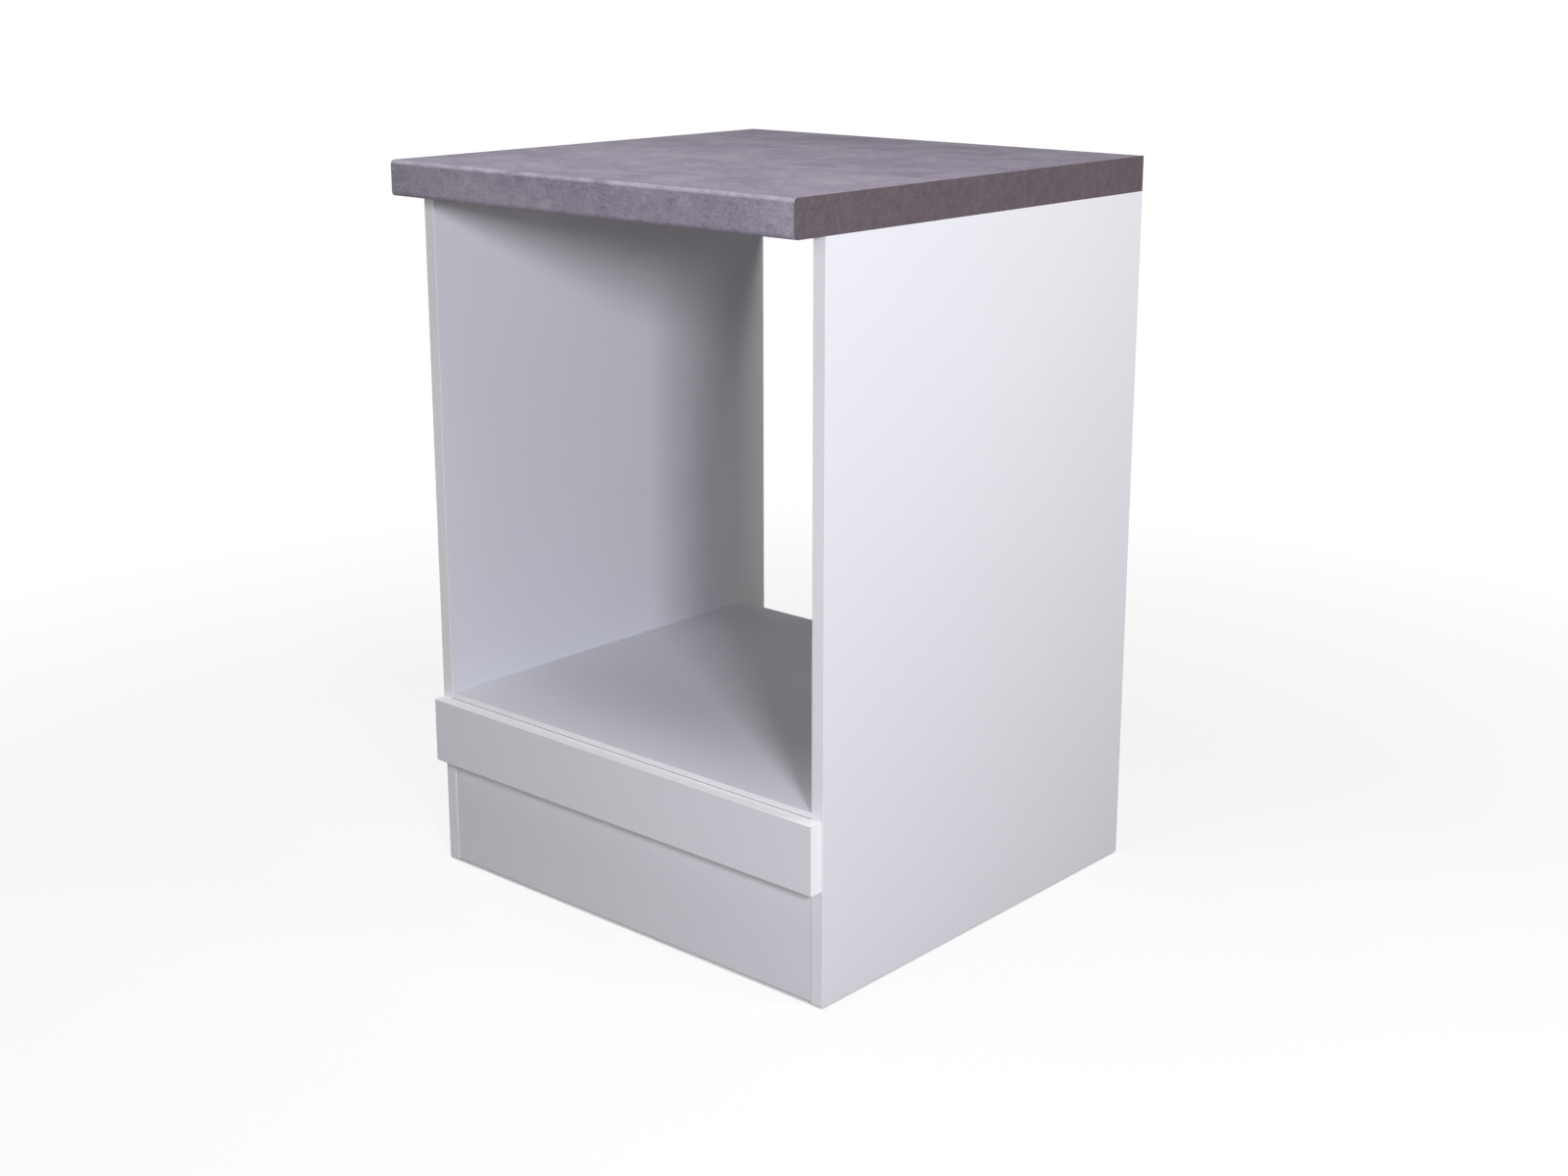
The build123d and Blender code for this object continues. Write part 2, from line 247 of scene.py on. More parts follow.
def boardMaterial(nodeName, axis, along):
    material, tree = startMaterial("melamine_" + nodeName)
    depth, half = depthInBoard(tree, nodeName, axis)
    facing = maths(tree, "GREATER_THAN", depth, half - boardLook["facing"])
    chipColour, chipRelief = chipboardParts(tree, depth, half, along)

    point = here(tree)
    clouds = noise(tree, point, *boardLook["cloudNoise"])
    white = mixColour(tree, clouds, boardLook["shade"], boardLook["white"])
    pearls = noise(tree, point, *boardLook["pearlNoise"])
    pearlShare = spread(tree, pearls, noiseCore, (0, boardLook["pearlShare"]))
    white = mixColour(tree, pearlShare, white, boardLook["pearlTone"])
    pearlRelief = times(tree, pearls, boardLook["pearlRelief"])
    gloss = spread(tree, noise(tree, point, *boardLook["glossNoise"]), noiseSpan, boardLook["roughness"])

    shader = put(tree, "ShaderNodeBsdfPrincipled", {
        "Base Color": mixColour(tree, facing, chipColour, white),
        "Roughness": mixValue(tree, facing, chipLook["roughness"], gloss),
        "Specular IOR Level": boardLook["specular"],
    })
    finishMaterial(tree, shader, mixValue(tree, facing, chipRelief, pearlRelief))
    return material


# Each board's thickness runs along the first axis, and its chips lie along the second
boardAxes = {
    "side_panel_left": (0, 2),
    "side_panel_right": (0, 2),
    "bottom_panel": (2, 0),
    "rear_rail": (1, 0),
    "plinth_board": (1, 0),
    "front_strip": (1, 0),
}
for nodeName, (axis, along) in boardAxes.items():
    dress(nodeName, boardMaterial(nodeName, axis, along))


# Edge bands, with the glue line against the board that each one covers, and a painted shade line in the
# joint over the front strip

bandLook = {
    "sideWhite": (0.81, 0.808, 0.85),
    "stripWhite": (0.94, 0.94, 0.96),
    "dust": (0.6, 0.6, 0.63),
    "dustNoise": (12, 3),
    "dustShare": 0.04,
    "glue": (0.46, 0.42, 0.36),
    "glueLine": 0.00012,
    "jointShade": (0.30, 0.29, 0.31),  # painted shade in the joint behind the front strip
    # height of the painted shade line over the strip
    "jointShadeHeight": 0.0007,
    "grainNoise": (1300, 2, 0.5),
    "roughness": (0.34, 0.44),
    "relief": 0.000008,
    "specular": 0.45,
}

# The board that each band covers, and the axis across the joint between them
bandedBoards = {
    "side_front_band_left": ("side_panel_left", 1),
    "side_front_band_right": ("side_panel_right", 1),
    "bottom_panel_front_band": ("bottom_panel", 1),
    "rear_rail_lower_band": ("rear_rail", 2),
    "plinth_lower_band": ("plinth_board", 2),
    "front_strip_top_band": ("front_strip", 2),
    "front_strip_bottom_band": ("front_strip", 2),
    "front_strip_left_band": ("front_strip", 0),
    "front_strip_right_band": ("front_strip", 0),
}


def glueLine(tree, bandName, boardName, axis):
    # 1 on the part of the band that lies next to its board
    low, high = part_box(bandName)
    boardLow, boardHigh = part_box(boardName)
    boardAbove = boardLow[axis] + boardHigh[axis] > low[axis] + high[axis]
    joint = high[axis] if boardAbove else low[axis]
    toJoint = maths(tree, "ABSOLUTE", minus(tree, partOf(tree, here(tree), axis), joint))
    return maths(tree, "LESS_THAN", toJoint, bandLook["glueLine"])


def paintedShadeOverStrip(tree):
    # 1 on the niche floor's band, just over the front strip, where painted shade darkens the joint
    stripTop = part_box("front_strip_top_band")[1].z
    return maths(tree, "LESS_THAN", partOf(tree, here(tree), 2), stripTop + bandLook["jointShadeHeight"])


def bandMaterial(bandName, boardName, axis):
    material, tree = startMaterial("band_" + bandName)
    point = here(tree)
    white = bandLook["stripWhite"] if boardName == "front_strip" else bandLook["sideWhite"]
    dust = spread(tree, noise(tree, point, *bandLook["dustNoise"]), noiseSpan, (0, bandLook["dustShare"]))
    colour = mixColour(tree, dust, white, bandLook["dust"])
    colour = mixColour(tree, glueLine(tree, bandName, boardName, axis), colour, bandLook["glue"])
    # painted shade in the joint over the front strip
    if bandName == "bottom_panel_front_band":
        colour = mixColour(tree, paintedShadeOverStrip(tree), colour, bandLook["jointShade"])
    grain = noise(tree, point, *bandLook["grainNoise"])
    shader = put(tree, "ShaderNodeBsdfPrincipled", {
        "Base Color": colour,
        "Roughness": spread(tree, grain, noiseSpan, bandLook["roughness"]),
        "Specular IOR Level": bandLook["specular"],
    })
    finishMaterial(tree, shader, times(tree, grain, bandLook["relief"]))
    return material


for bandName, (boardName, axis) in bandedBoards.items():
    dress(bandName, bandMaterial(bandName, boardName, axis))
print("boards and bands finished")


# Worktop: clouded concrete-look laminate, darker end bands, chipboard core and backing sheet

concreteLook = {
    "dark": (0.184, 0.160, 0.215),
    "middle": (0.299, 0.268, 0.336),
    "light": (0.413, 0.383, 0.447),
    # pale colour of the trowel strokes and flecks, also used for the painted highlight on the front arris
    "paleWispAndHighlight": (0.57, 0.54, 0.61),
    "stretch": (0.7, 1.0, 1.0),  # the clouds are longer from side to side
    "turn": 8,                   # degrees
    "reach": 0.115,              # a smaller one gives more contrast
    "roughness": (0.68, 0.80),
    "relief": 0.00002,
    "specular": 0.07,
}
strokeLook = {                   # fine pale trowel strokes from side to side, in groups
    "stretch": (6, 90, 90),
    "turn": 6,
    "noise": (3.2, 2, 0.5),
    "range": (0.60, 0.72),
    "groupNoise": (9, 2),
    "groupRange": (0.54, 0.66),
    "share": 0.30,
}
fleckLook = {                    # pale flecks of the fine grain, in clusters
    "range": (0.58, 0.72),
    "clusterNoise": (34, 3),
    "clusterRange": (0.50, 0.64),
    "share": 0.5,
}
arrisLook = {                    # a painted highlight along the front arris, and the sheet's cut edge at the back
    "reach": (0.0046, 0.0034),   # way back plus way down, where the painted highlight ends and where it is full
    "noise": (60, 3, 0.6),
    "range": (0.30, 0.65),
    "share": (0.10, 0.45),
    "cutEdge": (0.10, 0.07, 0.055),
    "cutDepth": 0.00002,         # from the back plane
}

# The cloudy print, from wide clouds to fine grain: cells per metre and share of the tone
topPrint = {
    "clouds": (7, 0.25),
    "patches": (26, 0.18),
    "blots": (60, 0.14),
    "mottle": (150, 0.14),
    "grain": (520, 0.29),
}
endPrint = {
    "clouds": (9, 0.13),
    "patches": (70, 0.30),
    "mottle": (160, 0.25),
    "grain": (560, 0.32),
}
printForm = {
    "layer": (3, 0.6, 0.5),      # detail, roughness and distortion of each layer
    "dustNoise": (900, 2, 0.6),
}


def concretePattern(tree, point, layers, reach):
    # The print's tone from 0 to 1, and a fine dust for flecks and relief
    tone = 0.0
    for cells, share in layers.values():
        tone = plus(tree, tone, times(tree, noise(tree, point, cells, *printForm["layer"]), share))
    return spread(tree, tone, (0.5 - reach, 0.5 + reach)), noise(tree, point, *printForm["dustNoise"])


def trowelStrokes(tree):
    lines = noise(tree, here(tree, strokeLook["stretch"], strokeLook["turn"]), *strokeLook["noise"])
    groups = noise(tree, here(tree), *strokeLook["groupNoise"])
    groups = spread(tree, groups, strokeLook["groupRange"], (0, strokeLook["share"]))
    return times(tree, spread(tree, lines, strokeLook["range"]), groups)


def fleckClusters(tree, dust):
    clusters = noise(tree, here(tree), *fleckLook["clusterNoise"])
    clusters = spread(tree, clusters, fleckLook["clusterRange"], (0, fleckLook["share"]))
    return times(tree, spread(tree, dust, fleckLook["range"]), clusters)


def paintedArrisHighlight(tree, point):
    # A paler line along the front arris, broken up by noise: a painted highlight
    low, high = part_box("worktop_laminate")
    back = minus(tree, partOf(tree, here(tree), 1), low.y)
    down = minus(tree, high.z, partOf(tree, here(tree), 2))
    near = spread(tree, plus(tree, back, down), arrisLook["reach"])
    highlight = spread(tree, noise(tree, point, *arrisLook["noise"]), arrisLook["range"], arrisLook["share"])
    return times(tree, near, highlight)


def cutEdge(tree):
    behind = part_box("worktop_laminate")[1].y - arrisLook["cutDepth"]
    return maths(tree, "GREATER_THAN", partOf(tree, here(tree), 1), behind)


def laminateMaterial():
    material, tree = startMaterial("worktop_laminate")
    point = here(tree, concreteLook["stretch"], concreteLook["turn"])
    tone, dust = concretePattern(tree, point, topPrint, concreteLook["reach"])
    darkHalf = spread(tree, tone, (0.0, 0.5))
    lightHalf = spread(tree, tone, (0.5, 1.0))
    colour = mixColour(tree, darkHalf, concreteLook["dark"], concreteLook["middle"])
    colour = mixColour(tree, lightHalf, colour, concreteLook["light"])
    colour = mixColour(tree, trowelStrokes(tree), colour, concreteLook["paleWispAndHighlight"])
    colour = mixColour(tree, fleckClusters(tree, dust), colour, concreteLook["paleWispAndHighlight"])
    # painted highlight along the front arris
    colour = mixColour(tree, paintedArrisHighlight(tree, point), colour, concreteLook["paleWispAndHighlight"])
    colour = mixColour(tree, cutEdge(tree), colour, arrisLook["cutEdge"])
    shader = put(tree, "ShaderNodeBsdfPrincipled", {
        "Base Color": colour,
        "Roughness": spread(tree, tone, (0.0, 1.0), concreteLook["roughness"]),
        "Specular IOR Level": concreteLook["specular"],
    })
    finishMaterial(tree, shader, times(tree, dust, concreteLook["relief"]))
    return material


endBandLook = {
    "dark": (0.080, 0.060, 0.073),
    "light": (0.126, 0.099, 0.119),
    "fleck": (0.17, 0.14, 0.162),
    "fleckRange": (0.6, 0.72),
    "fleckShare": 0.4,
    "reach": 0.085,
    "roughness": (0.55, 0.66),
    "relief": 0.00002,
    "specular": 0.2,
}


def endBandMaterial():
    material, tree = startMaterial("worktop_end_band")
    tone, dust = concretePattern(tree, here(tree), endPrint, endBandLook["reach"])
    colour = mixColour(tree, tone, endBandLook["dark"], endBandLook["light"])
    flecks = spread(tree, dust, endBandLook["fleckRange"], (0, endBandLook["fleckShare"]))
    colour = mixColour(tree, flecks, colour, endBandLook["fleck"])
    shader = put(tree, "ShaderNodeBsdfPrincipled", {
        "Base Color": colour,
        "Roughness": spread(tree, tone, (0.0, 1.0), endBandLook["roughness"]),
        "Specular IOR Level": endBandLook["specular"],
    })
    finishMaterial(tree, shader, times(tree, dust, endBandLook["relief"]))
    return material


def coreMaterial():
    material, tree = startMaterial("worktop_core")
    depth, half = depthInBoard(tree, "worktop_core", 2)
    colour, relief = chipboardParts(tree, depth, half, 0)
    shader = put(tree, "ShaderNodeBsdfPrincipled", {
        "Base Color": colour,
        "Roughness": chipLook["roughness"],
        "Specular IOR Level": chipLook["specular"],
    })
    finishMaterial(tree, shader, relief)
    return material


backingLook = {
    "dark": (0.30, 0.25, 0.20),
    "light": (0.42, 0.36, 0.30),
    "stretch": (0.3, 1.0, 1.0),
    "fibreNoise": (420, 4, 0.65),
    "roughness": 0.75,
    "relief": 0.00003,
    "specular": 0.3,
}


def backingMaterial():
    material, tree = startMaterial("backing_sheet")
    fibres = noise(tree, here(tree, backingLook["stretch"]), *backingLook["fibreNoise"])
    tone = spread(tree, fibres, noiseCore)
    shader = put(tree, "ShaderNodeBsdfPrincipled", {
        "Base Color": mixColour(tree, tone, backingLook["dark"], backingLook["light"]),
        "Roughness": backingLook["roughness"],
        "Specular IOR Level": backingLook["specular"],
    })
    finishMaterial(tree, shader, times(tree, fibres, backingLook["relief"]))
    return material


dress("worktop_laminate", laminateMaterial())
endBand = endBandMaterial()
dress("worktop_end_band_left", endBand)
dress("worktop_end_band_right", endBand)
dress("worktop_core", coreMaterial())
dress("worktop_backing_sheet", backingMaterial())
print("worktop finished")


# Fittings

zincLook = {
    "blue": (0.60, 0.63, 0.68),
    "yellow": (0.72, 0.71, 0.66),
    "bloomNoise": (90, 3, 0.5, 0.5),
    "fineNoise": (1500, 2, 0.6),
    "roughness": (0.24, 0.38),
    "relief": 0.000006,
}


def zincPlatedMaterial():
    # Bright plating with faint blue and yellow bloom
    material, tree = startMaterial("zinc_plated_steel")
    point = here(tree)
    bloom = spread(tree, noise(tree, point, *zincLook["bloomNoise"]), noiseSpan)
    fine = noise(tree, point, *zincLook["fineNoise"])
    shader = put(tree, "ShaderNodeBsdfPrincipled", {
        "Base Color": mixColour(tree, bloom, zincLook["blue"], zincLook["yellow"]),
        "Metallic": 1.0,
        "Roughness": spread(tree, fine, noiseSpan, zincLook["roughness"]),
    })
    finishMaterial(tree, shader, times(tree, fine, zincLook["relief"]))
    return material


dieCastLook = {
    "dark": (0.40, 0.41, 0.43),
    "light": (0.56, 0.56, 0.57),
    "stainNoise": (160, 3, 0.5),
    "skinNoise": (1100, 3, 0.65),
    "metallic": 0.85,
    "roughness": (0.42, 0.62),
    "relief": 0.00002,
}


def dieCastMaterial():
    material, tree = startMaterial("die_cast_zinc")
    point = here(tree)
    stain = spread(tree, noise(tree, point, *dieCastLook["stainNoise"]), noiseCore)
    skin = noise(tree, point, *dieCastLook["skinNoise"])
    shader = put(tree, "ShaderNodeBsdfPrincipled", {
        "Base Color": mixColour(tree, stain, dieCastLook["dark"], dieCastLook["light"]),
        "Metallic": dieCastLook["metallic"],
        "Roughness": spread(tree, skin, noiseSpan, dieCastLook["roughness"]),
    })
    finishMaterial(tree, shader, times(tree, skin, dieCastLook["relief"]))
    return material


beechLook = {
    "dark": (0.50, 0.32, 0.19),
    "light": (0.68, 0.49, 0.32),
    "grainStretch": (0.06, 1.0, 1.0),
    "grainNoise": (900, 4, 0.6),
    "ray": (0.36, 0.21, 0.12),   # the short dark dashes of beech
    "rayStretch": (0.25, 1.0, 1.0),
    "rayCells": 900,
    "rayRange": (0.82, 0.95),
    "rayShare": 0.5,
    "roughness": 0.7,
    "relief": 0.00004,
    "specular": 0.3,
}


def beechMaterial():
    material, tree = startMaterial("beech")
    grain = noise(tree, here(tree, beechLook["grainStretch"]), *beechLook["grainNoise"])
    colour = mixColour(tree, spread(tree, grain, noiseSpan), beechLook["dark"], beechLook["light"])
    rays = chips(tree, here(tree, beechLook["rayStretch"]), beechLook["rayCells"])
    rays = spread(tree, rays, beechLook["rayRange"], (0, beechLook["rayShare"]))
    shader = put(tree, "ShaderNodeBsdfPrincipled", {
        "Base Color": mixColour(tree, rays, colour, beechLook["ray"]),
        "Roughness": beechLook["roughness"],
        "Specular IOR Level": beechLook["specular"],
    })
    finishMaterial(tree, shader, times(tree, grain, beechLook["relief"]))
    return material


glideLook = {
    "white": (0.66, 0.66, 0.65),
    "scuff": (0.42, 0.41, 0.39),
    "scuffStretch": (1.0, 0.2, 1.0),
    "scuffNoise": (500, 3),
    "scuffRange": (0.58, 0.7),
    "scuffShare": 0.35,
    "skinNoise": (800, 3, 0.6),
    "roughness": (0.4, 0.55),
    "relief": 0.00001,
    "specular": 0.4,
}


def glideMaterial():
    material, tree = startMaterial("glide_plastic")
    scuffs = noise(tree, here(tree, glideLook["scuffStretch"]), *glideLook["scuffNoise"])
    scuffs = spread(tree, scuffs, glideLook["scuffRange"], (0, glideLook["scuffShare"]))
    skin = noise(tree, here(tree), *glideLook["skinNoise"])
    shader = put(tree, "ShaderNodeBsdfPrincipled", {
        "Base Color": mixColour(tree, scuffs, glideLook["white"], glideLook["scuff"]),
        "Roughness": spread(tree, skin, noiseSpan, glideLook["roughness"]),
        "Specular IOR Level": glideLook["specular"],
    })
    finishMaterial(tree, shader, times(tree, skin, glideLook["relief"]))
    return material


bracketNames = [nodeName for nodeName in sorted(nodes) if nodeName.startswith("worktop_bracket_")]
plating = zincPlatedMaterial()
for nodeName in bracketNames:
    dress(nodeName, plating)
dress("cam_bolts", plating)
dress("cam_housings", dieCastMaterial())
dress("wooden_dowels", beechMaterial())
dress("floor_glides", glideMaterial())


# Screws by Geometry Nodes: a lathed head with a cross recess and a threaded shank at each seat

screwSizes = {
    "Head Diameter": 0.007,
    "Head Height": 0.0022,
    "Shank Diameter": 0.0035,
    "Thread Depth": 0.0006,
    "Thread Pitch": 0.0016,
    "Point Length": 0.003,
    "Recess Width": 0.0042,
    "Recess Slot": 0.0009,
    "Recess Depth": 0.0014,
    "Turn Seed": 4,
}
screwForm = {
    "headFaces": 28,             # round the head
    "headRows": 18,
    "underside": 0.12,           # share of the rows for the flat below the head
    "crownWidth": 0.55,          # powers that shape the crown, where 1 is an ellipse
    "crownHeight": 0.7,
    "recessTaper": (0.4, 0.7),   # length and width of a bar at its bottom, as shares
    "shankFaces": 20,
    "shankRows": 70,
    "crest": 1.6,                # power that makes the thread's crest narrow
    "shankInHead": 0.2,          # of the head's height
    "topRow": 0.999,             # the rows past this close the shank
    "weld": 0.000004,            # corners this close become one
    "sharpAngle": 32,            # degrees
}
bracketSizes = {
    "thickness": 0.002,
    "holeInset": 0.014,          # from the corner that the bracket is folded about
}
stripScrewCount = 3


def screwInputs(tree):
    face = tree.interface
    face.new_socket("Seats", in_out="INPUT", socket_type="NodeSocketGeometry")
    for name in screwSizes:
        kind = "NodeSocketInt" if name == "Turn Seed" else "NodeSocketFloat"
        face.new_socket(name, in_out="INPUT", socket_type=kind)
    face.new_socket("Length", in_out="INPUT", socket_type="NodeSocketFloat")
    face.new_socket("Metal", in_out="INPUT", socket_type="NodeSocketMaterial")
    face.new_socket("Screws", in_out="OUTPUT", socket_type="NodeSocketGeometry")
    return put(tree, "NodeGroupInput").outputs


def seatTurn(tree, given):
    # Faces outward from the seat, and is turned by chance about the screw's own axis
    outward = put(tree, "GeometryNodeInputNamedAttribute", {"Name": "outward"}, data_type="FLOAT_VECTOR")
    aimed = put(tree, "FunctionNodeAlignRotationToVector", {"Vector": outward.outputs[0]}, axis="Z")
    turn = put(tree, "FunctionNodeRandomValue", {
        2: 0.0, 3: pi, "Seed": given["Turn Seed"],
    }, data_type="FLOAT")
    about = put(tree, "FunctionNodeAxisAngleToRotation", {"Axis": (0, 0, 1), "Angle": turn.outputs[1]})
    turned = put(tree, "FunctionNodeRotateRotation", {
        "Rotation": aimed.outputs[0], "Rotate By": about.outputs[0],
    }, rotation_space="LOCAL")
    return turned.outputs[0]


def newScrewTree():
    tree = bpy.data.node_groups.new("chipboardScrews", "GeometryNodeTree")
    given = screwInputs(tree)
    head = screwHead(tree, given)
    shank = screwShank(tree, given)
    both = put(tree, "GeometryNodeJoinGeometry")
    tree.links.new(shank, both.inputs[0])
    tree.links.new(head, both.inputs[0])
    placed = put(tree, "GeometryNodeInstanceOnPoints", {
        "Points": given["Seats"], "Instance": both.outputs[0], "Rotation": seatTurn(tree, given),
    })
    real = put(tree, "GeometryNodeRealizeInstances", {0: placed.outputs[0]})
    metal = put(tree, "GeometryNodeSetMaterial", {
        "Geometry": real.outputs[0], "Material": given["Metal"],
    })
    put(tree, "NodeGroupOutput", {0: metal.outputs[0]})
    return tree


def lathe(tree, faces, rows, radiusOf, heightOf):
    # A grid rolled up about Z: share runs once round, and row from 0 below to 1 above
    grid = put(tree, "GeometryNodeMeshGrid", {
        "Size X": 1.0, "Size Y": 1.0, "Vertices X": faces + 1, "Vertices Y": rows,
    })
    flat = put(tree, "GeometryNodeInputPosition").outputs[0]
    share = plus(tree, partOf(tree, flat, 0), 0.5)
    row = plus(tree, partOf(tree, flat, 1), 0.5)
    angle = times(tree, share, 2 * pi)
    radius = radiusOf(row, share)
    rolled = put(tree, "ShaderNodeCombineXYZ", {
        0: times(tree, radius, maths(tree, "COSINE", angle)),
        1: times(tree, radius, maths(tree, "SINE", angle)),
        2: heightOf(row),
    })
    moved = put(tree, "GeometryNodeSetPosition", {
        "Geometry": grid.outputs[0], "Position": rolled.outputs[0],
    })
    welded = put(tree, "GeometryNodeMergeByDistance", {
        "Geometry": moved.outputs[0], "Distance": screwForm["weld"],
    })
    return welded.outputs[0]


def screwHead(tree, given):
    radius = times(tree, given["Head Diameter"], 0.5)
    underside = screwForm["underside"]

    def arc(row):
        return times(tree, spread(tree, row, (underside, 1.0)), pi / 2)

    def radiusOf(row, share):
        crown = maths(tree, "POWER", maths(tree, "COSINE", arc(row)), screwForm["crownWidth"])
        inner = spread(tree, row, (0, underside))
        return times(tree, radius, times(tree, crown, inner))

    def heightOf(row):
        crown = maths(tree, "POWER", maths(tree, "SINE", arc(row)), screwForm["crownHeight"])
        return times(tree, crown, given["Head Height"])

    head = lathe(tree, screwForm["headFaces"], screwForm["headRows"], radiusOf, heightOf)
    bar = recessBar(tree, given)
    crossed = put(tree, "GeometryNodeTransform", {0: bar, "Rotation": (0, 0, pi / 2)}).outputs[0]
    cut = put(tree, "GeometryNodeMeshBoolean", {"Mesh 1": head}, operation="DIFFERENCE")
    tree.links.new(bar, cut.inputs["Mesh 2"])
    tree.links.new(crossed, cut.inputs["Mesh 2"])
    return cut.outputs[0]


def recessBar(tree, given):
    # One bar of the cross, centred on the crown, with its lower corners drawn in
    size = put(tree, "ShaderNodeCombineXYZ", {
        0: given["Recess Width"],
        1: given["Recess Slot"],
        2: times(tree, given["Recess Depth"], 2),
    })
    bar = put(tree, "GeometryNodeMeshCube", {"Size": size.outputs[0]}).outputs[0]
    corner = put(tree, "GeometryNodeInputPosition").outputs[0]
    lower = maths(tree, "LESS_THAN", partOf(tree, corner, 2))
    narrow = put(tree, "ShaderNodeCombineXYZ", {
        0: mixValue(tree, lower, 1.0, screwForm["recessTaper"][0]),
        1: mixValue(tree, lower, 1.0, screwForm["recessTaper"][1]),
        2: 1.0,
    })
    tapered = put(tree, "ShaderNodeVectorMath", {0: corner, 1: narrow.outputs[0]}, operation="MULTIPLY")
    lift = put(tree, "ShaderNodeCombineXYZ", {2: given["Head Height"]})
    bar = put(tree, "GeometryNodeSetPosition", {
        "Geometry": bar, "Position": tapered.outputs[0], "Offset": lift.outputs[0],
    })
    return bar.outputs[0]


def screwShank(tree, given):
    core = minus(tree, times(tree, given["Shank Diameter"], 0.5), given["Thread Depth"])
    whole = plus(tree, given["Length"], times(tree, given["Head Height"], screwForm["shankInHead"]))

    def heightOf(row):
        return minus(tree, times(tree, row, whole), given["Length"])

    def radiusOf(row, share):
        # The ridge climbs one pitch a turn, and the rod tapers to a point at its lower end
        turns = maths(tree, "DIVIDE", heightOf(row), given["Thread Pitch"])
        phase = maths(tree, "FRACT", minus(tree, turns, share))
        ridge = times(tree, maths(tree, "ABSOLUTE", minus(tree, phase, 0.5)), 2)
        ridge = maths(tree, "POWER", minus(tree, 1, ridge), screwForm["crest"])
        rod = plus(tree, core, times(tree, ridge, given["Thread Depth"]))
        point = spread(tree, row, (0.0, maths(tree, "DIVIDE", given["Point Length"], whole)))
        belowTop = maths(tree, "LESS_THAN", row, screwForm["topRow"])
        return times(tree, times(tree, rod, point), belowTop)

    return lathe(tree, screwForm["shankFaces"], screwForm["shankRows"], radiusOf, heightOf)


def makeScrews(name, tree, seats, length, replaced):
    # seats are pairs of a point under the head and the way that the head faces
    mesh = bpy.data.meshes.new(name)
    mesh.from_pydata([point for point, outward in seats], [], [])
    facing = mesh.attributes.new("outward", "FLOAT_VECTOR", "POINT")
    for k, (point, outward) in enumerate(seats):
        facing.data[k].vector = outward
    piece = bpy.data.objects.new(name, mesh)
    bpy.context.scene.collection.objects.link(piece)
    modifier = piece.modifiers.new("screws", "NODES")
    modifier.node_group = tree
    values = dict(screwSizes, Length=length, Metal=plating)
    for item in tree.interface.items_tree:
        if item.in_out == "INPUT" and item.name in values:
            modifier[item.identifier] = values[item.name]
    seen = bpy.context.evaluated_depsgraph_get()
    plain = bpy.data.meshes.new_from_object(piece.evaluated_get(seen))
    piece.modifiers.clear()
    piece.data = plain
    plain.name = name
    plain.shade_smooth()
    plain.set_sharp_from_angle(angle=radians(screwForm["sharpAngle"]))
    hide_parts(replaced)
    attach(piece, "root")
    print(name, "has", len(plain.polygons), "faces")


def bracketSeats():
    # On each bracket's two legs: one screw up into the worktop, one out into the side panel
    seats = []
    thickness = bracketSizes["thickness"]
    holeInset = bracketSizes["holeInset"]
    for nodeName in bracketNames:
        low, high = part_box(nodeName)
        side = 1 if low.x > 0 else -1
        corner = high.x if side > 0 else low.x
        middle = (low.y + high.y) / 2
        seats.append(((corner - side * holeInset, middle, high.z - thickness), (0, 0, -1)))
        seats.append(((corner - side * thickness, middle, high.z - holeInset), (-side, 0, 0)))
    return seats


def stripSeats():
    # Behind the plinth board, evenly spaced along the strip
    low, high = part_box("strip_screws")
    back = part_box("plinth_board")[1].y
    inset = screwSizes["Head Diameter"] / 2
    first = low.x + inset
    last = high.x - inset
    level = (low.z + high.z) / 2
    seats = []
    for k in range(stripScrewCount):
        across = first + (last - first) * k / (stripScrewCount - 1)
        seats.append(((across, back, level), (0, 1, 0)))
    return seats


screwTree = newScrewTree()
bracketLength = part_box("bracket_screws")[1].z - bracketSeats()[0][0][2]
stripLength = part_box("plinth_board")[1].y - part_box("strip_screws")[0].y
makeScrews("bracketScrews", screwTree, bracketSeats(), bracketLength, "bracket_screws")
makeScrews("stripScrews", screwTree, stripSeats(), stripLength, "strip_screws")
print("fittings finished")


# Studio: pale floor, white surroundings and soft boxes

studio = {
    "ambient": 0.02,             # light from all round, for everything but the camera and gloss
    "middle": (0, 0, 0.45),      # what the soft boxes face
}
floorLook = {
    "radius": 9.0,
    "colour": (0.32, 0.32, 0.33),
    "fleck": (0.4, 0.4, 0.4),
    "fleckNoise": (40, 3),
    "fleckShare": 0.03,
    "glow": 0.82,                # share of plain white in the floor that the camera sees
    "glowUnder": 0.15,           # the same under the cabinet
    "shadowReach": (0.9, 1.8),   # from the origin, where the floor starts to turn white and is white
}

